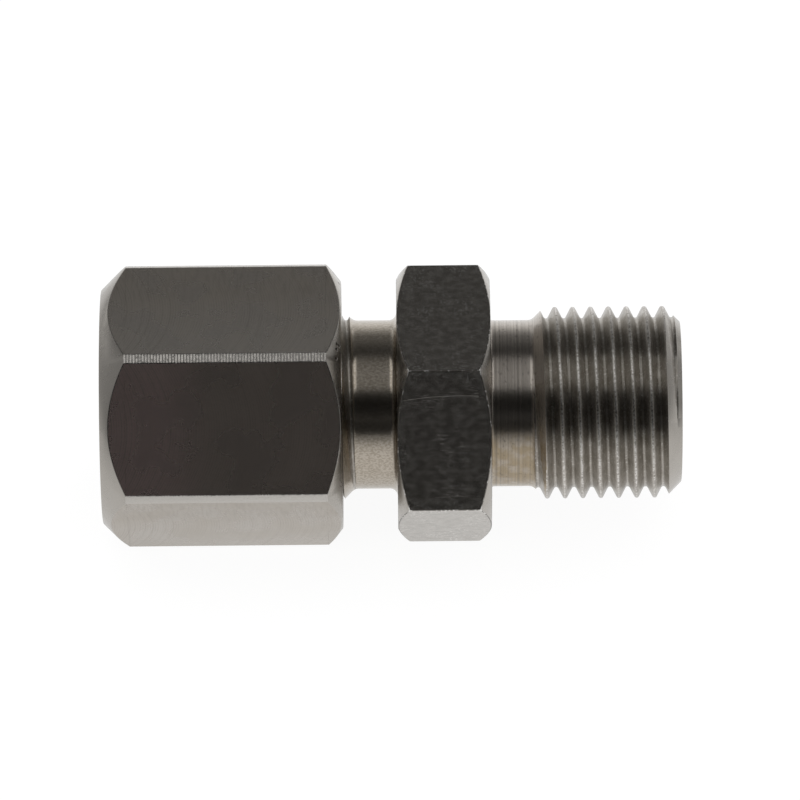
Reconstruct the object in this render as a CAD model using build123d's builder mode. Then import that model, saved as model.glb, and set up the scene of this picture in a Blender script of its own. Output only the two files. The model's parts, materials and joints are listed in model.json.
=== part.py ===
from build123d import *
import os
from math import cos, pi, radians, sin, tan

# Thermocouple compression fitting, in millimetres and degrees.
# It lies along X as it rests on a table, with the nut at -X, the process thread at +X and +Z up.
# The origin is on the axis of the bore, in the plane of the port face, the hexagon's right side.

# Parallel 1/8 inch pipe thread, the same on the process end and on the spigot, each with a relieved neck.
# The steel left inside it makes room for a 6 mm probe, and outside it makes a 1/2 inch hexagon.
thread_diameter = 9.728
thread_run_out_angle = 45
thread_run_out_fillet = 0.5
wall_to_probe = 1.864
wall_to_flats = 1.486

# Room round the probe in each piece
body_bore_clearance = 0.1
ferrule_bore_clearance = 0.05
nut_hole_clearance = 0.15

# Both hexagons take the same spanner, and each lies rolled a little from flat
hexagon_sides = 6
body_roll = 3.12
nut_roll = -3.38

# Hexagon of the body, with both rims turned to a cone that starts just inside the flats
body_hex_length = 4.74
body_rim_inset = 0.025
body_rim_angle = 30

# Process end: a relieved neck, the thread and a chamfered end
process_length = 9.63
process_neck_depth = 0.65
process_neck_length = 2.1
process_neck_fillet = 0.15
process_end_chamfer = 0.8
bore_end_chamfer = 0.3

# Spigot that the nut screws on, with a cone seat in its tip
spigot_length = 10.26
spigot_neck_depth = 0.59
spigot_neck_length = 2.18
spigot_neck_fillet = 0.4
spigot_tip_chamfer = 0.6
seat_half_angle = 12

# Ferrule: a nose that enters the cone seat, a plain land and a steeper back
ferrule_entry = 1.6
ferrule_nose_wall = 0.46
ferrule_land_wall = 0.9
ferrule_land_length = 1.0
ferrule_back_wall = 0.55
ferrule_back_angle = 45
seat_clearance = 0.05

# Nut, milled from round bar that is slightly too small for full corners, which leaves a land on each
nut_gap = 2.79
nut_end_wall = 2.35
nut_corner_land_depth = 0.13
nut_front_rim_drop = 1.28
nut_front_rim_angle = 45
nut_back_rim_drop = 0.94
nut_back_rim_angle = 38
nut_hole_chamfer = 0.3

# Inside of the nut
nut_thread_clearance = 0.05
nut_mouth_chamfer = 0.45
nut_relief_depth = 0.14
nut_relief_length = 1.7
nut_seat_wall = 1.05


def run(rise, angle):
    """Length along the axis in which a cone of this half angle rises by this much."""
    return rise / tan(radians(angle))


def rim_run(drop, angle):
    """Length along the axis of a rim chamfer that drops by this much at this angle to the end face."""
    return drop * tan(radians(angle))


# Radii that the pieces share
thread_radius = thread_diameter / 2
probe_radius = thread_radius - wall_to_probe
bore_radius = probe_radius + body_bore_clearance
ferrule_bore_radius = probe_radius + ferrule_bore_clearance
nut_hole_radius = probe_radius + nut_hole_clearance
flat_radius = thread_radius + wall_to_flats
corner_radius = flat_radius / cos(pi / hexagon_sides)

# Places along the axis, worked out from the port face at zero
hex_back = -body_hex_length
spigot_tip = hex_back - spigot_length
nut_back = hex_back - nut_gap

# Cone seat and ferrule, set against each other across the seat clearance
ferrule_nose = spigot_tip + ferrule_entry
ferrule_nose_radius = ferrule_bore_radius + ferrule_nose_wall
ferrule_land_radius = ferrule_bore_radius + ferrule_land_wall
ferrule_back_radius = ferrule_bore_radius + ferrule_back_wall
land_start = ferrule_nose - run(ferrule_land_radius - ferrule_nose_radius, seat_half_angle)
land_end = land_start - ferrule_land_length
ferrule_back = land_end - run(ferrule_land_radius - ferrule_back_radius, ferrule_back_angle)
seat_nose_radius = ferrule_nose_radius + seat_clearance
seat_mouth_radius = seat_nose_radius + ferrule_entry * tan(radians(seat_half_angle))
seat_bottom = spigot_tip + run(seat_mouth_radius - bore_radius, seat_half_angle)

# Fitting body: hexagon bar, turned on both sides and bored through
spigot_neck_radius = thread_radius - spigot_neck_depth
process_neck_radius = thread_radius - process_neck_depth
spigot_neck_end = hex_back - spigot_neck_length
spigot_thread_start = spigot_neck_end - run(spigot_neck_depth, thread_run_out_angle)
process_thread_start = process_neck_length + run(process_neck_depth, thread_run_out_angle)
body_rim_radius = flat_radius - body_rim_inset
body_rim_length = rim_run(corner_radius - body_rim_radius, body_rim_angle)


def neck_ring(place):
    """The body's smallest circular edge in the plane across the axis at this place."""
    rings = fitting_body.edges().filter_by(GeomType.CIRCLE)
    return rings.filter_by_position(Axis.X, place, place).sort_by(SortBy.RADIUS)[0]


with BuildPart() as fitting_body:
    with BuildSketch(Plane.YZ.offset(hex_back)):
        RegularPolygon(flat_radius, hexagon_sides, major_radius=False, rotation=body_roll)
    extrude(amount=body_hex_length)
    with BuildSketch(Plane.XZ):
        with BuildLine():
            Polyline(
                (hex_back, 0),
                (hex_back, body_rim_radius),
                (hex_back + body_rim_length, corner_radius),
                (-body_rim_length, corner_radius),
                (0, body_rim_radius),
                (0, 0),
                close=True,
            )
        make_face()
    revolve(axis=Axis.X, mode=Mode.INTERSECT)
    with BuildSketch(Plane.XZ):
        with BuildLine():
            Polyline(
                (spigot_tip, 0),
                (spigot_tip, thread_radius - spigot_tip_chamfer),
                (spigot_tip + spigot_tip_chamfer, thread_radius),
                (spigot_thread_start, thread_radius),
                (spigot_neck_end, spigot_neck_radius),
                (hex_back, spigot_neck_radius),
                (hex_back, 0),
                close=True,
            )
        make_face()
        with BuildLine():
            Polyline(
                (0, 0),
                (0, process_neck_radius),
                (process_neck_length, process_neck_radius),
                (process_thread_start, thread_radius),
                (process_length - process_end_chamfer, thread_radius),
                (process_length, thread_radius - process_end_chamfer),
                (process_length, 0),
                close=True,
            )
        make_face()
    revolve(axis=Axis.X)
    fillet(neck_ring(0), process_neck_fillet)
    fillet(neck_ring(process_neck_length), thread_run_out_fillet)
    fillet(neck_ring(hex_back), spigot_neck_fillet)
    fillet(neck_ring(spigot_neck_end), thread_run_out_fillet)
    with BuildSketch(Plane.XZ):
        with BuildLine():
            Polyline(
                (spigot_tip, 0),
                (spigot_tip, seat_mouth_radius),
                (seat_bottom, bore_radius),
                (process_length - bore_end_chamfer, bore_radius),
                (process_length, bore_radius + bore_end_chamfer),
                (process_length, 0),
                close=True,
            )
        make_face()
    revolve(axis=Axis.X, mode=Mode.SUBTRACT)

# Ferrule: turned ring on the probe, its nose across the seat clearance from the cone seat
with BuildPart() as ferrule:
    with BuildSketch(Plane.XZ):
        with BuildLine():
            Polyline(
                (ferrule_nose, ferrule_bore_radius),
                (ferrule_nose, ferrule_nose_radius),
                (land_start, ferrule_land_radius),
                (land_end, ferrule_land_radius),
                (ferrule_back, ferrule_back_radius),
                (ferrule_back, ferrule_bore_radius),
                close=True,
            )
        make_face()
    revolve(axis=Axis.X)

# Compression nut: round bar milled to a hexagon, turned and threaded inside
nut_bar_radius = corner_radius - nut_corner_land_depth
nut_front_rim_length = rim_run(nut_front_rim_drop, nut_front_rim_angle)
nut_back_rim_length = rim_run(nut_back_rim_drop, nut_back_rim_angle)
nut_thread_radius = thread_radius + nut_thread_clearance
nut_relief_radius = nut_thread_radius + nut_relief_depth
nut_seat_start = (
    ferrule_back
    - seat_clearance / sin(radians(ferrule_back_angle))
    - run(ferrule_back_radius - nut_hole_radius, ferrule_back_angle)
)
nut_seat_end = nut_seat_start + run(nut_seat_wall, ferrule_back_angle)
nut_front = nut_seat_start - nut_end_wall

with BuildPart() as compression_nut:
    with BuildSketch(Plane.YZ.offset(nut_front)):
        RegularPolygon(flat_radius, hexagon_sides, major_radius=False, rotation=nut_roll)
    extrude(amount=nut_back - nut_front)
    with BuildSketch(Plane.XZ):
        with BuildLine():
            Polyline(
                (nut_front, 0),
                (nut_front, nut_bar_radius - nut_front_rim_drop),
                (nut_front + nut_front_rim_length, nut_bar_radius),
                (nut_back - nut_back_rim_length, nut_bar_radius),
                (nut_back, nut_bar_radius - nut_back_rim_drop),
                (nut_back, 0),
                close=True,
            )
        make_face()
    revolve(axis=Axis.X, mode=Mode.INTERSECT)
    with BuildSketch(Plane.XZ):
        with BuildLine():
            Polyline(
                (nut_front, 0),
                (nut_front, nut_hole_radius + nut_hole_chamfer),
                (nut_front + nut_hole_chamfer, nut_hole_radius),
                (nut_seat_start, nut_hole_radius),
                (nut_seat_end, nut_hole_radius + nut_seat_wall),
                (nut_seat_end, nut_relief_radius),
                (nut_seat_end + nut_relief_length, nut_relief_radius),
                (nut_seat_end + nut_relief_length, nut_thread_radius),
                (nut_back - nut_mouth_chamfer, nut_thread_radius),
                (nut_back, nut_thread_radius + nut_mouth_chamfer),
                (nut_back, 0),
                close=True,
            )
        make_face()
    revolve(axis=Axis.X, mode=Mode.SUBTRACT)

fitting_body.part.label = "fitting_body"
ferrule.part.label = "ferrule"
compression_nut.part.label = "compression_nut"

os.makedirs("parts", exist_ok=True)
export_step(fitting_body.part, "parts/fitting_body.step")
export_step(ferrule.part, "parts/ferrule.step")
export_step(compression_nut.part, "parts/compression_nut.step")
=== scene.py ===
import json
from math import cos, hypot, pi, radians, sin, tan

import bmesh
import bpy
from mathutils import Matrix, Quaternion, Vector


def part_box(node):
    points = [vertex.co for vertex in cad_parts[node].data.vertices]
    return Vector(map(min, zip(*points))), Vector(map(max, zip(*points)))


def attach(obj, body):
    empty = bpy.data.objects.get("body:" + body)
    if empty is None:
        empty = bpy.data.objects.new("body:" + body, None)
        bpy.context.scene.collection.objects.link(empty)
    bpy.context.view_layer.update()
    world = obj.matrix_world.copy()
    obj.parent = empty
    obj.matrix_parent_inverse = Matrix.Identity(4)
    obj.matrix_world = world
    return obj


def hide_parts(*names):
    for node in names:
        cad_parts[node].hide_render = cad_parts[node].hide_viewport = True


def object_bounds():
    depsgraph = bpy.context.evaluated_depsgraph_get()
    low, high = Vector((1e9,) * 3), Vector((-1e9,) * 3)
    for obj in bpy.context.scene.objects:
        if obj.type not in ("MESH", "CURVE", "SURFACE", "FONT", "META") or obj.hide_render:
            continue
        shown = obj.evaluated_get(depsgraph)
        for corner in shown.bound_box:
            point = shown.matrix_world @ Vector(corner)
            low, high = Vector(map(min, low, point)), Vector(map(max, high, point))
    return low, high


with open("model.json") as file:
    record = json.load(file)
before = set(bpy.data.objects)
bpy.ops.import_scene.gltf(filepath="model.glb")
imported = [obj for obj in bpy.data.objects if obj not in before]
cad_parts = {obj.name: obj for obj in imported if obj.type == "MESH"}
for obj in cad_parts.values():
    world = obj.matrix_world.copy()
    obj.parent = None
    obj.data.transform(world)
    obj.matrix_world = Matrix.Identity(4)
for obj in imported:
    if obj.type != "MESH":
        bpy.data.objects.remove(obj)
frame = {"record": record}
cad_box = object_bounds()

# Fitting body: one piece of stainless hexagon bar, bored through and turned down on both sides.
# The right shank has the process thread, the left one takes the nut and has a cone seat in its tip.
# Both threads are cut with a chaser on the turned blank and run out in a relieved neck.

MM = 0.001
TURN_STEPS = 192
FLAT_STEP = 20
mounts = {mount["name"]: mount["dims"] for mount in frame["record"]["mounts"]}
body_low, body_high = (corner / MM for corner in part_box("fitting_body"))
nut_low, nut_high = (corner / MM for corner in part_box("compression_nut"))

thread_radius = mounts["process_thread"]["r_mm"]
bore_radius = mounts["probe_bore"]["r_mm"]
spigot_tip = body_low.x
process_end = body_high.x
nut_front = nut_low.x
nut_back = nut_high.x

wall_to_flats = 1.486
flat_radius = thread_radius + wall_to_flats
corner_radius = flat_radius / cos(radians(30))
body_roll = 3.12
hex_back = -4.74
body_rim_radius = flat_radius - 0.025
body_rim_length = (corner_radius - body_rim_radius) * tan(radians(30))
edge_rounding = 0.035

process_neck_radius = thread_radius - 0.65
process_neck_length = 2.1
process_neck_fillet = 0.15
process_end_chamfer = 0.8
bore_end_chamfer = 0.3
run_out_fillet = 0.5
run_out_tangent = run_out_fillet * tan(radians(22.5))

spigot_neck_radius = thread_radius - 0.59
spigot_neck_length = 2.18
spigot_neck_fillet = 0.4
spigot_tip_chamfer = 0.6
seat_mouth_radius = 3.9
seat_bottom = spigot_tip + (seat_mouth_radius - bore_radius) / tan(radians(12))

# Whitworth form: rounded crests and roots, flanks at 27.5 degrees, right hand
thread_pitch = 0.907
thread_rounding = 0.1373 * thread_pitch
thread_depth = 0.6403 * thread_pitch
silhouette_angle = radians(46.12)
process_crest = 3.295
spigot_crest = -6.835
rounding_steps = 6


def arc(centre_x, centre_r, radius, start, end, count):
    """Points of an arc in the turning plane, its angles from the radial direction towards +X."""
    points = []
    for step in range(count + 1):
        angle = radians(start + (end - start) * step / count)
        points.append((centre_x + radius * sin(angle), centre_r + radius * cos(angle)))
    return points


def turned(profile, start):
    """A bmesh of a closed outline of (x, r) points, turned round the X axis from a start angle."""
    bm = bmesh.new()
    verts = [bm.verts.new((x, r * cos(start), r * sin(start))) for x, r in profile]
    edges = [bm.edges.new(pair) for pair in zip(verts, verts[1:] + verts[:1])]
    bmesh.ops.spin(bm, geom=verts + edges, cent=(0, 0, 0), axis=(1, 0, 0), angle=2 * pi,
                   steps=TURN_STEPS, use_merge=True, use_duplicate=False)
    bmesh.ops.remove_doubles(bm, verts=bm.verts, dist=1e-5)
    bmesh.ops.recalc_face_normals(bm, faces=bm.faces)
    return bm


def flat_normals(roll):
    """The outward direction of each of the six flats."""
    turns = [radians(90 + roll + 60 * flat) for flat in range(6)]
    return [Vector((0, cos(turn), sin(turn))) for turn in turns]


def mill_hexagon(bm, roll):
    """Cuts six flats on a turned blank, and closes each with one face."""
    for normal in flat_normals(roll):
        everything = bm.verts[:] + bm.edges[:] + bm.faces[:]
        cut = bmesh.ops.bisect_plane(bm, geom=everything, dist=1e-5, plane_co=normal * flat_radius,
                                     plane_no=normal, clear_outer=True)
        rim = [part for part in cut["geom_cut"] if isinstance(part, bmesh.types.BMEdge)]
        bmesh.ops.holes_fill(bm, edges=rim, sides=0)
    bmesh.ops.recalc_face_normals(bm, faces=bm.faces)
    divide_sides(bm, roll)


def divide_sides(bm, roll):
    """Divides the flats and the strips between them into short lengths, with no long thin triangles."""
    flats = [face for face in bm.faces if is_flat(face, roll)]
    low = min(vert.co.x for face in flats for vert in face.verts)
    high = max(vert.co.x for face in flats for vert in face.verts)
    count = round(high - low)
    for step in range(1, count):
        place = low + (high - low) * step / count
        sides = [face for face in bm.faces if abs(face.normal.x) < 0.01
                 and max(hypot(vert.co.y, vert.co.z) for vert in face.verts) > flat_radius]
        parts = {edge for face in sides for edge in face.edges}
        parts |= {vert for face in sides for vert in face.verts}
        bmesh.ops.bisect_plane(bm, geom=sides + list(parts), dist=1e-4, plane_co=(place, 0, 0),
                               plane_no=(1, 0, 0))


def is_flat(face, roll):
    """Whether a face is one of the six flats."""
    return any(face.normal.dot(normal) > 0.9999
               and abs(face.calc_center_median().dot(normal) - flat_radius) < 0.002
               for normal in flat_normals(roll))


def break_edges(bm, roll, ends):
    """Takes the sharpness off the flats' outlines and off the turned corners at these end faces."""
    edges = []
    for edge in bm.edges:
        beside_flat = any(is_flat(face, roll) for face in edge.link_faces)
        at_end = any(all(abs(vert.co.x - place) < 1e-4 and hypot(vert.co.y, vert.co.z) > lowest
                         for vert in edge.verts) for place, lowest in ends)
        if (beside_flat or at_end) and edge.calc_face_angle(0) > radians(5):
            edges.append(edge)
    bmesh.ops.bevel(bm, geom=edges, offset=edge_rounding, offset_type="OFFSET", segments=2,
                    profile=0.5, affect="EDGES", material=-1)


def thread_tooth(crest_radius):
    """One pitch of the thread's outline, from the middle of a crest to just before the next."""
    lean = 90 - 27.5
    crest = arc(0, crest_radius - thread_rounding, thread_rounding, -lean, lean, rounding_steps)
    root_centre = crest_radius - thread_depth + thread_rounding
    root = arc(thread_pitch / 2, root_centre, thread_rounding, 180 + lean, 180 - lean, rounding_steps)
    middle = ((crest[-1][0] + root[0][0]) / 2, (crest[-1][1] + root[0][1]) / 2)
    falling = [middle]
    rising = [(thread_pitch - middle[0], middle[1])]
    return crest + falling + root + rising


def thread_strip(first, last, crest_place, crest_radius):
    """The thread's surface between two planes across the axis, open at both ends."""
    bm = bmesh.new()
    phase = crest_place - thread_pitch * silhouette_angle / (2 * pi)
    tooth = round((first - phase) / thread_pitch) - 2
    last_tooth = round((last - phase) / thread_pitch) + 2
    verts = []
    while tooth <= last_tooth:
        start = phase + tooth * thread_pitch
        verts += [bm.verts.new((start + x, r, 0)) for x, r in thread_tooth(crest_radius)]
        tooth += 1
    edges = [bm.edges.new(pair) for pair in zip(verts, verts[1:])]
    bmesh.ops.spin(bm, geom=verts + edges, cent=(0, 0, 0), axis=(1, 0, 0),
                   dvec=(thread_pitch / TURN_STEPS, 0, 0), angle=2 * pi, steps=TURN_STEPS,
                   use_merge=False, use_duplicate=False)
    bmesh.ops.remove_doubles(bm, verts=bm.verts, dist=1e-3)
    for place, side in ((first, {"clear_inner": True}), (last, {"clear_outer": True})):
        everything = bm.verts[:] + bm.edges[:] + bm.faces[:]
        bmesh.ops.bisect_plane(bm, geom=everything, dist=1e-6, plane_co=(place, 0, 0),
                               plane_no=(1, 0, 0), **side)
    return bm


def rim_at(bm, place):
    """The open edges of a strip that lie in the plane across the axis at this place."""
    return [edge for edge in bm.edges
            if edge.is_boundary and all(abs(vert.co.x - place) < 0.01 for vert in edge.verts)]


def chaser(first, last, crest_place, crest_radius, outside):
    """The space that the chaser sweeps round a shank: the thread inside, a plain cylinder outside."""
    bm = thread_strip(first, last, crest_place, crest_radius)
    outer_rims = []
    for place in (first, last):
        grown = bmesh.ops.extrude_edge_only(bm, edges=rim_at(bm, place))["geom"]
        for vert in (part for part in grown if isinstance(part, bmesh.types.BMVert)):
            growth = outside / hypot(vert.co.y, vert.co.z)
            vert.co.y *= growth
            vert.co.z *= growth
        outer_rims += [edge for edge in grown if isinstance(edge, bmesh.types.BMEdge)
                       and all(hypot(vert.co.y, vert.co.z) > outside - 1e-3 for vert in edge.verts)]
    bmesh.ops.bridge_loops(bm, edges=outer_rims)
    bmesh.ops.recalc_face_normals(bm, faces=bm.faces)
    return bm


def as_object(bm, name):
    """Puts a bmesh into the scene as an object of this name, at the origin."""
    mesh = bpy.data.meshes.new(name)
    bm.to_mesh(mesh)
    bm.free()
    made = bpy.data.objects.new(name, mesh)
    bpy.context.scene.collection.objects.link(made)
    return made


def cut_away(blank, cutters):
    """Takes the cutters' space out of the blank and returns the cut mesh as a bmesh."""
    for cutter in cutters:
        modifier = blank.modifiers.new(cutter.name, "BOOLEAN")
        modifier.operation = "DIFFERENCE"
        modifier.solver = "EXACT"
        modifier.object = cutter
    cut = bpy.data.meshes.new_from_object(blank.evaluated_get(bpy.context.evaluated_depsgraph_get()))
    bm = bmesh.new()
    bm.from_mesh(cut)
    bpy.data.meshes.remove(cut)
    for used in [blank] + cutters:
        mesh = used.data
        bpy.data.objects.remove(used)
        bpy.data.meshes.remove(mesh)
    bmesh.ops.dissolve_degenerate(bm, edges=bm.edges, dist=1e-5)
    return bm


def finish_piece(bm, name, body, node, finishes, choose, roll=None):
    """Gives a piece its finishes and the map of its surface, attaches it to its body and hides the CAD node
    it stands in for.
    """
    normals = flat_normals(roll) if roll is not None else []
    plane = [abs(face.normal.x) > 0.9999 or bool(normals) and is_flat(face, roll) for face in bm.faces]
    layer = bm.loops.layers.uv.new("surface")
    for face in bm.faces:
        face.material_index = choose(face)
        side = next((place for place, normal in enumerate(normals)
                     if face.normal.dot(normal) > 0.999), 0)
        for loop in face.loops:
            across = loop.vert.co.dot(normals[side].cross(Vector((1, 0, 0)))) if normals else 0
            loop[layer].uv = (loop.vert.co.x, across + FLAT_STEP * side)
    bmesh.ops.scale(bm, vec=(MM, MM, MM), verts=bm.verts)
    piece = as_object(bm, name)
    piece.data.set_sharp_from_angle(angle=radians(32))
    for polygon, is_plane in zip(piece.data.polygons, plane):
        polygon.use_smooth = not is_plane
    for finish in finishes:
        piece.data.materials.append(finish)
    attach(piece, body)
    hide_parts(node)
    return piece


class Nodes:
    """A node tree under way, with short ways to add its nodes and join them."""

    def __init__(self, tree):
        self.tree = tree

    def node(self, kind, inputs=None, **settings):
        """A new node, whose inputs are given as values or as other nodes' outputs."""
        made = self.tree.nodes.new(kind)
        for name, value in settings.items():
            setattr(made, name, value)
        for name, value in (inputs or {}).items():
            self.put(value, made.inputs[name])
        return made

    def put(self, value, socket):
        if isinstance(value, bpy.types.NodeSocket):
            self.tree.links.new(value, socket)
        else:
            socket.default_value = value

    def maths(self, operation, *values):
        return self.node("ShaderNodeMath", dict(enumerate(values)), operation=operation).outputs[0]

    def total(self, *values):
        amount = values[0]
        for value in values[1:]:
            amount = self.maths("ADD", amount, value)
        return amount

    def between(self, value, low, high, to_low=0.0, to_high=1.0):
        """The value's stretch from low to high, spread smoothly over to_low to to_high."""
        return self.node("ShaderNodeMapRange", {0: value, 1: low, 2: high, 3: to_low, 4: to_high},
                         interpolation_type="SMOOTHSTEP").outputs[0]

    def blend(self, share, first, second):
        """A colour between two, each given as red, green and blue or as an output."""
        colours = [(*colour, 1) if isinstance(colour, tuple) else colour for colour in (first, second)]
        return self.node("ShaderNodeMix", {0: share, 6: colours[0], 7: colours[1]},
                         data_type="RGBA").outputs[2]

    def split(self, vector):
        return self.node("ShaderNodeSeparateXYZ", {0: vector}).outputs

    def noise(self, vector, scale, detail=2.0, stretch=(1, 1, 1)):
        """Noise from 0 to 1, with this many features to the millimetre."""
        placed = self.node("ShaderNodeVectorMath", {0: vector, 1: stretch}, operation="MULTIPLY")
        return self.node("ShaderNodeTexNoise", {"Vector": placed.outputs[0], "Scale": scale,
                                                "Detail": detail}).outputs[0]

    def lines(self, place, scale, detail=3.0):
        """Noise along one length only."""
        return self.node("ShaderNodeTexNoise", {"W": place, "Scale": scale, "Detail": detail},
                         noise_dimensions="1D").outputs[0]


class Finish(Nodes):
    """A steel finish under way: its shader, and the object's places in millimetres."""

    def __init__(self, name, colour, roughness):
        self.material = bpy.data.materials.new(name)
        self.material.use_nodes = True
        super().__init__(self.material.node_tree)
        self.shader = self.tree.nodes["Principled BSDF"]
        self.shader.inputs["Base Color"].default_value = (*colour, 1)
        self.shader.inputs["Metallic"].default_value = 1
        self.shader.inputs["Roughness"].default_value = roughness
        place = self.node("ShaderNodeTexCoord").outputs["Object"]
        scaled = self.node("ShaderNodeVectorMath", {0: place, "Scale": 1 / MM}, operation="SCALE")
        self.place = scaled.outputs[0]
        self.x, self.y, self.z = self.split(self.place)
        self.radius = self.maths("SQRT", self.total(self.maths("MULTIPLY", self.y, self.y),
                                                    self.maths("MULTIPLY", self.z, self.z)))

    def on_flats(self):
        """The map of the flats: the length along the axis, and across each flat, one step apart."""
        surface = self.node("ShaderNodeUVMap", uv_map="surface").outputs[0]
        parts = self.split(surface)
        return surface, parts[0], parts[1]

    def from_middle(self, across):
        """The length across a flat from the middle of it, whichever flat it is."""
        shifted = self.maths("MODULO", self.maths("ADD", across, FLAT_STEP / 2), FLAT_STEP)
        return self.maths("SUBTRACT", shifted, FLAT_STEP / 2)

    def turning_place(self):
        """A length that grows across every turned surface, whether it is a cylinder, a cone or a face."""
        return self.maths("ADD", self.x, self.maths("MULTIPLY", self.radius, 2.6))

    def across_the_lathe(self, anisotropy):
        """Spreads the gloss along the axis, as fine tool lines round the piece do."""
        self.shader.inputs["Anisotropic"].default_value = anisotropy
        self.shader.inputs["Anisotropic Rotation"].default_value = 0.25
        tangent = self.node("ShaderNodeTangent", direction_type="RADIAL", axis="X")
        self.feed("Tangent", tangent.outputs[0])

    def scratch(self, x, across, start, end, bow, width):
        """A bowed scratch on a flat from start to end, as 1 in its middle and 0 beside it."""
        share = self.maths("DIVIDE", self.maths("SUBTRACT", x, start[0]), end[0] - start[0])
        arch = self.maths("MULTIPLY", share, self.maths("SUBTRACT", 1, share))
        bulge = self.maths("MULTIPLY", arch, 4 * bow)
        middle = self.total(self.maths("MULTIPLY", share, end[1] - start[1]), bulge, start[1])
        gap = self.maths("ABSOLUTE", self.maths("SUBTRACT", across, middle))
        inside = self.between(self.maths("ABSOLUTE", self.maths("SUBTRACT", share, 0.5)), 0.5, 0.48)
        return self.maths("MULTIPLY", inside, self.between(gap, width, 0))

    def pit(self, place, size):
        """A round pit at this place, as 1 in its middle and 0 outside it."""
        gap = self.node("ShaderNodeVectorMath", {0: self.place, 1: place}, operation="DISTANCE")
        return self.between(gap.outputs["Value"], size, 0.3 * size)

    def feed(self, socket, value):
        self.tree.links.new(value, self.shader.inputs[socket])

    def relief(self, *heights):
        """The sum of these heights in millimetres as fine relief."""
        bump = self.node("ShaderNodeBump", {"Height": self.total(*heights), "Distance": MM})
        self.feed("Normal", bump.outputs[0])

    def times(self, value, amount):
        return self.maths("MULTIPLY", value, amount)


body_steel = (0.455, 0.428, 0.39)
rim_steel = (0.45, 0.424, 0.388)
spigot_steel = (0.462, 0.41, 0.343)
neck_steel = (0.52, 0.475, 0.425)
neck_lower_shade = (0.38, 0.31, 0.215)
neck_grime = (0.12, 0.105, 0.09)
flank_film = (0.4, 0.37, 0.325)
flank_bright = (0.52, 0.49, 0.445)
crest_steel = (0.75, 0.725, 0.69)
corner_glint = (0.8, 0.78, 0.75)


def drawn_flats():
    """Hexagon bar as drawn: near-smooth dark flats with fine lines along the bar and small scratches."""
    finish = Finish("drawn_flats", body_steel, 0.2)
    finish.shader.inputs["Metallic"].default_value = 0.985
    surface, x, across = finish.on_flats()
    from_middle = finish.from_middle(across)
    drawing = finish.noise(surface, 1.0, 4, (0.9, 26, 1))
    patches = finish.noise(surface, 2.6, 4, (0.8, 1.2, 1))
    grains = finish.noise(surface, 7, 2)
    wear_and_painted_light = finish.between(finish.noise(surface, 0.7, 3), 0.42, 0.62)
    hairs = finish.between(finish.noise(surface, 1.0, 2, (2.2, 15, 1)), 0.62, 0.7)
    hairs = finish.maths("MULTIPLY", hairs, wear_and_painted_light)
    front_flat = FLAT_STEP
    long_scratch = finish.scratch(x, across, (-4.47, front_flat + 2.1), (-0.6, front_flat + 2.31),
                                  0.11, 0.024)
    short_scratch = finish.scratch(x, across, (-2.75, front_flat + 0.3), (-2.15, front_flat + 0.27),
                                   0.0, 0.02)
    low_scratch = finish.scratch(x, across, (-2.9, front_flat - 3.0), (-1.2, front_flat - 2.95), 0.02, 0.02)
    marks = finish.total(finish.times(long_scratch, 0.9), finish.times(short_scratch, 0.5),
                         finish.times(low_scratch, 0.4), finish.times(hairs, 0.5))
    finish.relief(finish.times(drawing, 0.0006), finish.times(grains, 0.0008), finish.times(marks, -0.003))
    mottled = finish.blend(finish.between(patches, 0.35, 0.65), (0.36, 0.335, 0.3), (0.475, 0.448, 0.41))
    near_edge = finish.between(finish.maths("ABSOLUTE", from_middle), 2.9, 3.6)
    rubbed = finish.maths("MULTIPLY", finish.between(grains, 0.5, 0.66), finish.total(wear_and_painted_light, near_edge))
    finish.feed("Base Color", finish.blend(finish.times(rubbed, 0.45), mottled, corner_glint))
    finish.feed("Roughness", finish.between(patches, 0.3, 0.7, 0.17, 0.23))
    return finish.material


def turned_rims():
    """Cones as turned, satin, with fine tool lines round them."""
    finish = Finish("turned_rims", rim_steel, 0.24)
    finish.across_the_lathe(0.5)
    tool_lines = finish.lines(finish.turning_place(), 9)
    clouds = finish.noise(finish.place, 1.1, 3)
    specks = finish.noise(finish.place, 10, 2)
    finish.relief(finish.times(tool_lines, 0.002), finish.times(specks, 0.0008))
    finish.feed("Roughness", finish.between(clouds, 0.3, 0.7, 0.2, 0.3))
    return finish.material


def faced_ends():
    """End faces as turned, with the tool's rings standing out more than on the rims."""
    finish = Finish("faced_ends", rim_steel, 0.36)
    rings = finish.lines(finish.radius, 9)
    specks = finish.noise(finish.place, 8, 2)
    finish.relief(finish.times(rings, 0.005), finish.times(specks, 0.0008))
    return finish.material


def worn_glinting_edges():
    """Edges between the flats and the rims: mostly dull and dark, with nicks, and painted glints on the
    nicks and at the corners.
    """
    finish = Finish("worn_glinting_edges", rim_steel, 0.3)
    nicks = finish.noise(finish.place, 5, 3)
    from_middle = finish.maths("ABSOLUTE", finish.maths("SUBTRACT", finish.x, hex_back / 2))
    corner_place = -hex_back / 2 - body_rim_length
    outermost = finish.between(finish.radius, corner_radius - 0.18, corner_radius - 0.05)
    at_end = finish.between(from_middle, corner_place - 0.2, corner_place - 0.02)
    corner = finish.maths("MULTIPLY", outermost, at_end)
    finish.relief(finish.times(nicks, 0.004), finish.maths("MULTIPLY", finish.times(nicks, 0.04), corner))
    # Painted highlight: the nicks and the outermost corners take the bright glint colour.
    painted_glints = finish.maths("MAXIMUM", finish.between(nicks, 0.54, 0.66), corner)
    finish.feed("Base Color", finish.blend(painted_glints, (0.2, 0.187, 0.168), corner_glint))
    return finish.material


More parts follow.
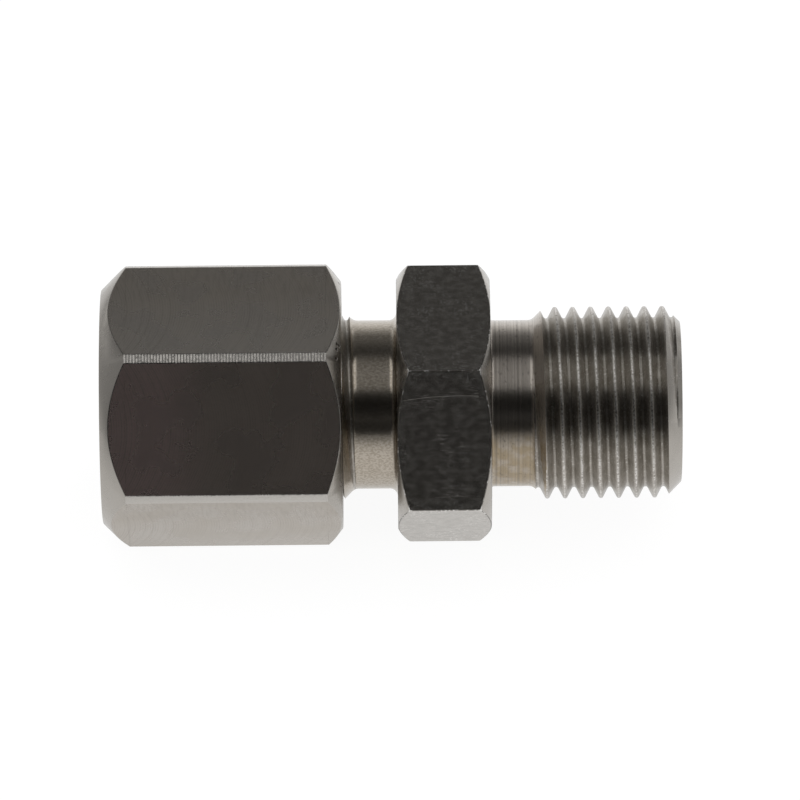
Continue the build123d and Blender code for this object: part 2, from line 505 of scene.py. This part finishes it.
def turned_necks():
    """Turned necks between the shoulders: bright on the spigot, dull and grimy at the process end, with a
    painted warm shade on its lower side.
    """
    finish = Finish("turned_necks", spigot_steel, 0.2)
    finish.across_the_lathe(0.85)
    dull = finish.between(finish.x, -1.0, 0.2)
    tool_lines = finish.lines(finish.turning_place(), 8)
    grain = finish.noise(finish.place, 11, 3, (0.7, 1, 1))
    specks = finish.noise(finish.place, 8, 3)
    grime = finish.between(finish.noise(finish.place, 6, 4, (1.2, 0.8, 0.8)), 0.6, 0.68)
    # Painted shade: the process neck turns warmer and darker towards its lower side, in patches.
    low = finish.between(finish.z, 2.6, 0.8)
    spread = finish.between(finish.noise(finish.place, 1.6, 3), 0.3, 0.6, 0.45, 1)
    lower_shade = finish.maths("MULTIPLY", spread, low)
    lower_shaded = finish.blend(lower_shade, neck_steel, neck_lower_shade)
    grimy = finish.blend(finish.times(grime, 0.4), lower_shaded, neck_grime)
    streaked = finish.blend(finish.between(tool_lines, 0.35, 0.7, 0, 0.35), grimy, neck_grime)
    clean = finish.blend(finish.between(grain, 0.38, 0.62), (0.38, 0.335, 0.272), (0.5, 0.45, 0.385))
    finish.feed("Base Color", finish.blend(dull, clean, streaked))
    speck_depth = finish.between(dull, 0, 1, 0.0006, 0.0016)
    finish.relief(finish.times(tool_lines, 0.002), finish.maths("MULTIPLY", specks, speck_depth),
                  finish.times(grain, 0.0007))
    finish.feed("Roughness", finish.between(dull, 0, 1, 0.2, 0.25))
    return finish.material


def cut_threads():
    """Threads as cut: thin worn crests, bright and burred, over flanks that hold a brown film."""
    finish = Finish("cut_threads", body_steel, 0.36)
    finish.across_the_lathe(0.8)
    tool_lines = finish.lines(finish.turning_place(), 12)
    specks = finish.noise(finish.place, 9, 3)
    clouds = finish.noise(finish.place, 1.8, 4)
    film = finish.blend(finish.between(clouds, 0.35, 0.65), flank_film, flank_bright)
    streaked = finish.blend(finish.between(tool_lines, 0.4, 0.65, 0, 0.4), film, neck_grime)
    speckled = finish.blend(finish.between(specks, 0.56, 0.68, 0, 0.6), streaked, crest_steel)
    crest = finish.between(finish.radius, thread_radius - 0.016, thread_radius - 0.003)
    burred = finish.maths("MULTIPLY", crest, finish.between(specks, 0.38, 0.58))
    finish.feed("Base Color", finish.blend(burred, speckled, crest_steel))
    burrs = finish.maths("MULTIPLY", finish.times(specks, 0.014), crest)
    finish.relief(finish.times(tool_lines, 0.003), finish.times(specks, 0.002), burrs)
    return finish.material


def body_outline():
    """The turned outline of the body blank, from the bore's tip end round to the process end."""
    big = corner_radius + 0.05
    rim_run = body_rim_length * (big - body_rim_radius) / (corner_radius - body_rim_radius)
    outline = [(seat_bottom, bore_radius), (spigot_tip, seat_mouth_radius)]
    outline += [(spigot_tip, thread_radius - spigot_tip_chamfer)]
    outline += [(spigot_tip + spigot_tip_chamfer, thread_radius)]
    flare = thread_radius - spigot_neck_radius
    outline += [(hex_back - spigot_neck_length - flare, thread_radius)]
    outline += arc(hex_back - spigot_neck_length + run_out_tangent, spigot_neck_radius + run_out_fillet,
                   run_out_fillet, 225, 180, 5)
    outline += arc(hex_back - spigot_neck_fillet, spigot_neck_radius + spigot_neck_fillet,
                   spigot_neck_fillet, 180, 90, 8)
    outline += [(hex_back, body_rim_radius), (hex_back + rim_run, big)]
    outline += [(-rim_run, big), (0, body_rim_radius)]
    outline += arc(process_neck_fillet, process_neck_radius + process_neck_fillet,
                   process_neck_fillet, 270, 180, 6)
    flare = thread_radius - process_neck_radius
    outline += arc(process_neck_length - run_out_tangent, process_neck_radius + run_out_fillet,
                   run_out_fillet, 180, 135, 5)
    outline += [(process_neck_length + flare, thread_radius)]
    outline += [(process_end - process_end_chamfer, thread_radius)]
    outline += [(process_end, thread_radius - process_end_chamfer)]
    outline += [(process_end, bore_radius + bore_end_chamfer)]
    outline += [(process_end - bore_end_chamfer, bore_radius)]
    return outline


def run_out_rise(along):
    """How far a neck's run-out has risen at this length past the corner that its fillet rounds off."""
    into_fillet = along + run_out_tangent
    if into_fillet < 0:
        return 0
    if into_fillet < run_out_fillet * sin(radians(45)):
        return run_out_fillet - (run_out_fillet ** 2 - into_fillet ** 2) ** 0.5
    return along


def body_finish(face):
    """Which finish a face of the body has: drawn flat, turned rim, neck, thread, faced end or worn edge
    with painted glints.
    """
    centre = face.calc_center_median()
    radius = hypot(centre.y, centre.z)
    if is_flat(face, body_roll):
        return 0
    if abs(face.normal.x) > 0.999:
        return 4
    if hex_back - 1e-3 < centre.x < 1e-3 and radius > body_rim_radius - 0.1:
        on_rim = abs(abs(face.normal.x) - cos(radians(30))) < 0.004
        return 1 if on_rim else 5
    at_chamfer = abs(radius - thread_radius - (process_end - process_end_chamfer - centre.x)) < 0.012
    if radius < bore_radius + 1e-2 or at_chamfer:
        return 1
    past_process_neck = radius - process_neck_radius - run_out_rise(centre.x - process_neck_length)
    past_spigot_neck = radius - spigot_neck_radius - run_out_rise(hex_back - spigot_neck_length - centre.x)
    if min(abs(past_process_neck), abs(past_spigot_neck)) < 0.012 and -7.6 < centre.x < 2.9:
        return 2
    necks_start = hex_back - spigot_neck_length + run_out_tangent
    necks_end = process_neck_length - run_out_tangent
    return 2 if necks_start < centre.x < necks_end else 3


body_blank = turned(body_outline(), radians(90 + body_roll + 30))
mill_hexagon(body_blank, body_roll)
break_edges(body_blank, body_roll, [(hex_back, body_rim_radius - 0.1), (0, body_rim_radius - 0.1)])
process_chaser = chaser(process_neck_length / 2, process_end + 1, process_crest, thread_radius, 6)
spigot_chaser = chaser(spigot_tip - 1, hex_back - spigot_neck_length / 2, spigot_crest, thread_radius, 6)
body_cutters = [as_object(process_chaser, "process_chaser"), as_object(spigot_chaser, "spigot_chaser")]
body_mesh = cut_away(as_object(body_blank, "body_blank"), body_cutters)
finish_piece(body_mesh, "fitting_body_steel", "fitting", "fitting_body",
             [drawn_flats(), turned_rims(), turned_necks(), cut_threads(), faced_ends(), worn_glinting_edges()],
             body_finish, body_roll)

# Ferrule: a turned stainless ring on the probe, with a slender nose for the cone seat and a steeper back.
# It is hidden between the body and the nut, and shows only through the nut's hole.

ferrule_low, ferrule_high = (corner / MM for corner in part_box("ferrule"))
ferrule_bore_radius = mounts["ferrule_bore"]["r_mm"]
ferrule_land_radius = ferrule_high.z
ferrule_nose_radius = ferrule_bore_radius + 0.46
ferrule_back_radius = ferrule_bore_radius + 0.55
ferrule_land_start = ferrule_high.x - (ferrule_land_radius - ferrule_nose_radius) / tan(radians(12))
ferrule_land_end = ferrule_low.x + (ferrule_land_radius - ferrule_back_radius)
ferrule_mesh = turned([
    (ferrule_high.x, ferrule_bore_radius),
    (ferrule_high.x, ferrule_nose_radius),
    (ferrule_land_start, ferrule_land_radius),
    (ferrule_land_end, ferrule_land_radius),
    (ferrule_low.x, ferrule_back_radius),
    (ferrule_low.x, ferrule_bore_radius),
], 0)
ferrule_corners = [edge for edge in ferrule_mesh.edges if edge.calc_face_angle(0) > radians(8)]
bmesh.ops.bevel(ferrule_mesh, geom=ferrule_corners, offset=0.03, offset_type="OFFSET", segments=2,
                profile=0.5, affect="EDGES", material=-1)
finish_piece(ferrule_mesh, "ferrule_steel", "olive", "ferrule", [turned_rims()], lambda face: 0)

# Compression nut: milled to a hexagon from round bar, so that a strip of the bar is left on each corner.
# Its rims are turned, and inside it has the spigot's thread, a relief, a sloped seat and the probe's hole.

nut_roll = -3.38
nut_bar_radius = corner_radius - 0.13
nut_front_rim_drop = 1.28
nut_back_rim_drop = 0.94
nut_back_rim_length = nut_back_rim_drop * tan(radians(38))
nut_hole_radius = mounts["nut_hole"]["r_mm"]
nut_hole_chamfer = 0.3
nut_end_wall = 2.35
nut_seat_wall = 1.05
nut_seat_start = nut_front + nut_end_wall
nut_seat_end = nut_seat_start + nut_seat_wall
nut_thread_radius = thread_radius + 0.05
nut_relief_radius = nut_thread_radius + 0.14
nut_relief_length = 1.7
nut_mouth_radius = nut_thread_radius + 0.45
nut_drill_radius = nut_thread_radius - thread_depth + 0.03

nut_steel = (0.475, 0.438, 0.396)
nut_painted_light = (0.56, 0.53, 0.49)
nut_film = (0.31, 0.28, 0.24)
mill_feed = 0.129
mill_radius = 6
land_feed = 0.152


def milled_flats():
    """Flats as milled: the cutter's feed leaves fine arcs across each flat, under a thin dull film."""
    finish = Finish("milled_flats", nut_steel, 0.28)
    finish.shader.inputs["Metallic"].default_value = 0.955
    surface, x, across = finish.on_flats()
    from_middle = finish.from_middle(across)
    squared = finish.maths("MULTIPLY", from_middle, from_middle)
    bulge = finish.maths("SQRT", finish.maths("SUBTRACT", mill_radius ** 2, squared))
    arc_place = finish.maths("SUBTRACT", x, bulge)
    feed_marks = finish.maths("SINE", finish.times(arc_place, 2 * pi / mill_feed))
    uneven = finish.lines(arc_place, 5)
    grain = finish.noise(surface, 7, 3)
    clouds = finish.noise(surface, 0.45, 3)
    nicks = finish.between(finish.noise(surface, 3.4, 2, (1, 0.8, 1)), 0.73, 0.78)
    upper_nick = finish.scratch(x, across, (-10.75, -2.19), (-10.6, -1.88), 0.0, 0.06)
    finish.relief(finish.times(feed_marks, 0.0004), finish.times(uneven, 0.0012),
                  finish.times(grain, 0.0004),
                  finish.times(finish.total(nicks, finish.times(upper_nick, 2)), -0.003))
    cut_deep = finish.between(finish.noise(surface, 1.1, 3), 0.35, 0.65, 0.1, 0.4)
    depth = finish.total(finish.maths("MULTIPLY", feed_marks, cut_deep),
                         finish.maths("SUBTRACT", uneven, 0.5), finish.maths("SUBTRACT", grain, 0.5))
    streaks = finish.between(finish.noise(surface, 1.0, 3, (7.5, 0.9, 1)), 0.46, 0.62)
    wavering = finish.maths("ADD", from_middle, finish.noise(surface, 0.9, 3, (1, 0.5, 1)))
    scored = finish.between(wavering, 0.6, 2.2)
    on_front = finish.maths("COMPARE", across, FLAT_STEP, 8)
    rightwards = finish.between(x, nut_front + 2.5, nut_back - 6)
    tint = finish.blend(finish.between(clouds, 0.35, 0.65), nut_steel, (0.47, 0.428, 0.376))
    # Painted light: each nut flat is lighter towards one long edge, up to half way to the light colour.
    wear_and_painted_light = finish.blend(finish.between(from_middle, 1.5, -3.5, 0, 0.5), tint, nut_painted_light)
    # The front flat alone takes a brown tint, lighter at its left end and darker to the right: the brown is
    # a film, and its fall along the flat is a painted reflection.
    brown = finish.blend(rightwards, (0.57, 0.447, 0.422), (0.437, 0.375, 0.335))
    browned = finish.blend(on_front, wear_and_painted_light, brown)
    milled = finish.blend(finish.between(depth, -0.7, 0.25, 0.42, 0), browned, nut_film)
    score = finish.maths("MULTIPLY", scored, finish.times(finish.total(streaks, 0.45), 0.22))
    plain = finish.maths("MULTIPLY", score, finish.between(on_front, 0, 1, 1, 0.3))
    finish.feed("Base Color", finish.blend(plain, milled, nut_film))
    finish.feed("Roughness", finish.between(clouds, 0.3, 0.7, 0.25, 0.31))
    return finish.material


def corner_lands():
    """Strips of the bar's own skin between the flats, crossed by the mill's burrs."""
    finish = Finish("corner_lands", (0.56, 0.535, 0.5), 0.22)
    ridges = finish.maths("MAXIMUM", finish.maths("SINE", finish.times(finish.x, 2 * pi / land_feed)), 0)
    chatter = finish.noise(finish.place, 1.0, 3, (11, 5, 5))
    torn = finish.between(finish.x, nut_front + 3, nut_back - 3, 0.8, 1.25)
    ridge_depth = finish.maths("MULTIPLY", ridges, finish.between(chatter, 0.35, 0.6, 0.004, 0.013))
    finish.relief(finish.maths("MULTIPLY", ridge_depth, torn),
                  finish.maths("MULTIPLY", finish.times(chatter, 0.014), torn))
    return finish.material


def pitted_rims():
    """The nut's cones as turned, with a few small pits in the back one."""
    finish = Finish("pitted_rims", rim_steel, 0.24)
    finish.across_the_lathe(0.5)
    tool_lines = finish.lines(finish.turning_place(), 9)
    clouds = finish.noise(finish.place, 1.1, 3)
    specks = finish.noise(finish.place, 10, 2)
    pits = finish.total(*[finish.pit(place, 0.12) for place in rim_pits])
    finish.relief(finish.times(tool_lines, 0.002), finish.times(specks, 0.0008), finish.times(pits, -0.04))
    finish.feed("Roughness", finish.between(clouds, 0.3, 0.7, 0.2, 0.3))
    # Painted shade: the pits are coloured nearly black, as well as sunk in the relief.
    finish.feed("Base Color", finish.blend(finish.maths("MINIMUM", pits, 1), rim_steel, (0.1, 0.09, 0.08)))
    return finish.material


def rim_place(x, turn):
    """A point on the nut's back cone, at this angle over the top from the near side."""
    radius = nut_bar_radius - (x - (nut_back - nut_back_rim_length)) / tan(radians(38))
    return (x, -radius * cos(radians(turn)), radius * sin(radians(turn)))


rim_pits = [rim_place(-7.76, 64.6), rim_place(-7.74, 69), rim_place(-7.72, 71.6), rim_place(-7.62, 71.4),
            rim_place(-7.93, 126), rim_place(-7.63, 118)]


def nut_finish(face):
    """Which finish a face of the nut has: milled flat, turned rim, corner land, thread or faced end."""
    centre = face.calc_center_median()
    radius = hypot(centre.y, centre.z)
    if is_flat(face, nut_roll):
        return 0
    if radius > nut_bar_radius - 0.02:
        return 2
    if radius < nut_thread_radius + 0.02 and centre.x > nut_seat_end + 0.1:
        return 3
    if abs(face.normal.x) > 0.999:
        return 4
    return 1


nut_blank = turned([
    (nut_front, nut_hole_radius + nut_hole_chamfer),
    (nut_front, nut_bar_radius - nut_front_rim_drop),
    (nut_front + nut_front_rim_drop, nut_bar_radius),
    (nut_back - nut_back_rim_length, nut_bar_radius),
    (nut_back, nut_bar_radius - nut_back_rim_drop),
    (nut_back, nut_mouth_radius),
    (nut_back - (nut_mouth_radius - nut_drill_radius), nut_drill_radius),
    (nut_seat_end + nut_relief_length, nut_drill_radius),
    (nut_seat_end + nut_relief_length, nut_relief_radius),
    (nut_seat_end, nut_relief_radius),
    (nut_seat_end, nut_hole_radius + nut_seat_wall),
    (nut_seat_start, nut_hole_radius),
    (nut_front + nut_hole_chamfer, nut_hole_radius),
], radians(90 + nut_roll + 30))
mill_hexagon(nut_blank, nut_roll)
break_edges(nut_blank, nut_roll, [(nut_front, nut_hole_radius + 0.5), (nut_back, nut_mouth_radius + 0.2)])
tap = thread_strip(nut_seat_end + nut_relief_length - 0.5, nut_back + 1, spigot_crest, nut_thread_radius)
bmesh.ops.holes_fill(tap, edges=[edge for edge in tap.edges if edge.is_boundary], sides=0)
bmesh.ops.recalc_face_normals(tap, faces=tap.faces)
nut_mesh = cut_away(as_object(nut_blank, "nut_blank"), [as_object(tap, "tap")])
finish_piece(nut_mesh, "compression_nut_steel", "nut", "compression_nut",
             [milled_flats(), pitted_rims(), corner_lands(), cut_threads(), faced_ends()],
             nut_finish, nut_roll)

# Table: a plain white sheet under the fitting, lit evenly, which glows white to the camera and which the
# steel mirrors from below, where its glow is a painted pool of light that dims to the sides and towards the
# front.
# The room above it is a dark studio with a soft light overhead on either side and a pale wall behind.

table_top = cad_box[0].z
table_reach = 1.5
bpy.ops.mesh.primitive_plane_add(size=2 * table_reach, location=(0, 0, table_top))
table = bpy.context.object
table.name = "table"
table_glow = 0.88
seen_glow = 1.05
mirrored_glow = 0.75
glow_reach = 34 * MM
sheet = bpy.data.materials.new("white_table")
sheet.use_nodes = True
paper = Nodes(sheet.node_tree)
fibre = paper.tree.nodes["Principled BSDF"]
fibre.inputs["Base Color"].default_value = (0.97, 0.97, 0.97, 1)
fibre.inputs["Roughness"].default_value = 0.9
fibre.inputs["Specular IOR Level"].default_value = 0
across_table, away_table, _ = paper.split(paper.node("ShaderNodeTexCoord").outputs["Object"])
sideways_reach = paper.maths("DIVIDE", across_table, glow_reach / 0.58)
forward_reach = paper.maths("MINIMUM", paper.maths("DIVIDE", away_table, glow_reach), 0)
far = paper.maths("ADD", paper.maths("MULTIPLY", sideways_reach, sideways_reach),
                  paper.maths("MULTIPLY", forward_reach, forward_reach))
# Painted light: in the steel's reflections the sheet glows as a pool that dims to the sides and towards the
# front.
dimmed = paper.maths("DIVIDE", 1, paper.maths("ADD", far, 1))
table_ray = paper.node("ShaderNodeLightPath").outputs
mirrored = paper.maths("MAXIMUM", table_ray["Is Glossy Ray"], table_ray["Is Transmission Ray"])
camera_glow = paper.maths("MULTIPLY", table_ray["Is Camera Ray"], seen_glow)
brightness = paper.maths("MAXIMUM", camera_glow, dimmed)
glow = paper.node("ShaderNodeEmission", {"Strength": brightness})
share = paper.maths("MAXIMUM", paper.maths("MULTIPLY", table_ray["Is Camera Ray"], table_glow),
                    paper.maths("MULTIPLY", mirrored, mirrored_glow))
mixed = paper.node("ShaderNodeMixShader", {0: share, 1: fibre.outputs[0], 2: glow.outputs[0]})
paper.put(mixed.outputs[0], paper.tree.nodes["Material Output"].inputs[0])
table.data.materials.append(sheet)

# Levels by the angle over the top of the room, from the near horizon at 0 to the far one at 180
room_levels = [
    (-180, 0.85), (0, 0.3), (2, 0.065), (10, 0.029), (17, 0.03), (23, 0.045), (30, 0.03), (39, 0.014),
    (50, 0.016), (58, 0.045), (66, 0.15), (84, 0.17), (98, 0.14), (110, 0.1), (122, 0.05), (131, 0.078),
    (143, 0.14), (153, 0.18), (163, 0.36), (171, 0.6), (177, 0.8), (180, 0.85),
]
side_light = 0.95
left_end = 0.33
right_end = 0.42
world = bpy.data.worlds.new("room")
bpy.context.scene.world = world
world.use_nodes = True
room = Nodes(world.node_tree)
sideways, away, upward = room.split(room.node("ShaderNodeTexCoord").outputs["Generated"])
over = room.maths("ARCTAN2", upward, room.maths("MULTIPLY", away, -1))
spread = room.node("ShaderNodeMapRange", {0: over, 1: -pi, 2: pi})
ramp = room.node("ShaderNodeValToRGB", {0: spread.outputs[0]})
stops = ramp.color_ramp.elements
while len(stops) < len(room_levels):
    stops.new(0.5)
for stop, (angle, level) in zip(stops, room_levels):
    stop.position = (angle + 180) / 360
    stop.color = (level, level, level, 1)
aside = room.maths("ABSOLUTE", sideways)
beside = room.maths("MULTIPLY", room.between(aside, 0.16, 0.36), room.between(aside, 0.82, 0.66))
overhead = room.maths("MULTIPLY", room.between(over, radians(60), radians(72)),
                      room.between(over, radians(118), radians(106)))
lamps = room.maths("MULTIPLY", beside, overhead)
lit = room.blend(lamps, ramp.outputs[0], (side_light, side_light, side_light))
end_level = room.between(sideways, -0.1, 0.1, left_end, right_end)
ended = room.blend(room.between(aside, 0.8, 1), lit, end_level)
room_ray = room.node("ShaderNodeLightPath").outputs
white = room.maths("MAXIMUM", room_ray["Is Camera Ray"], room_ray["Is Diffuse Ray"])
seen = room.blend(white, ended, (1, 1, 1))
room.put(seen, room.tree.nodes["Background"].inputs[0])

# Camera: a long lens that looks down on the fitting from the front
camera_elevation = radians(43.88)
camera_distance = 467 * MM
camera_roll = radians(-0.55)
aim_x = -4.59 * MM
aim_lift = 0.213 * MM
back = Vector((0, -cos(camera_elevation), sin(camera_elevation)))
up = Vector((0, sin(camera_elevation), cos(camera_elevation)))
lens = bpy.data.cameras.new("camera")
lens.lens = 414
lens.sensor_width = 36
lens.clip_end = 5
camera = bpy.data.objects.new("camera", lens)
bpy.context.scene.collection.objects.link(camera)
camera.rotation_mode = "QUATERNION"
camera.location = Vector((aim_x, 0, 0)) + up * aim_lift + back * camera_distance
camera.rotation_quaternion = (-back).to_track_quat("-Z", "Y") @ Quaternion((0, 0, 1), camera_roll)
bpy.context.scene.camera = camera
bpy.context.scene.view_settings.view_transform = "Standard"
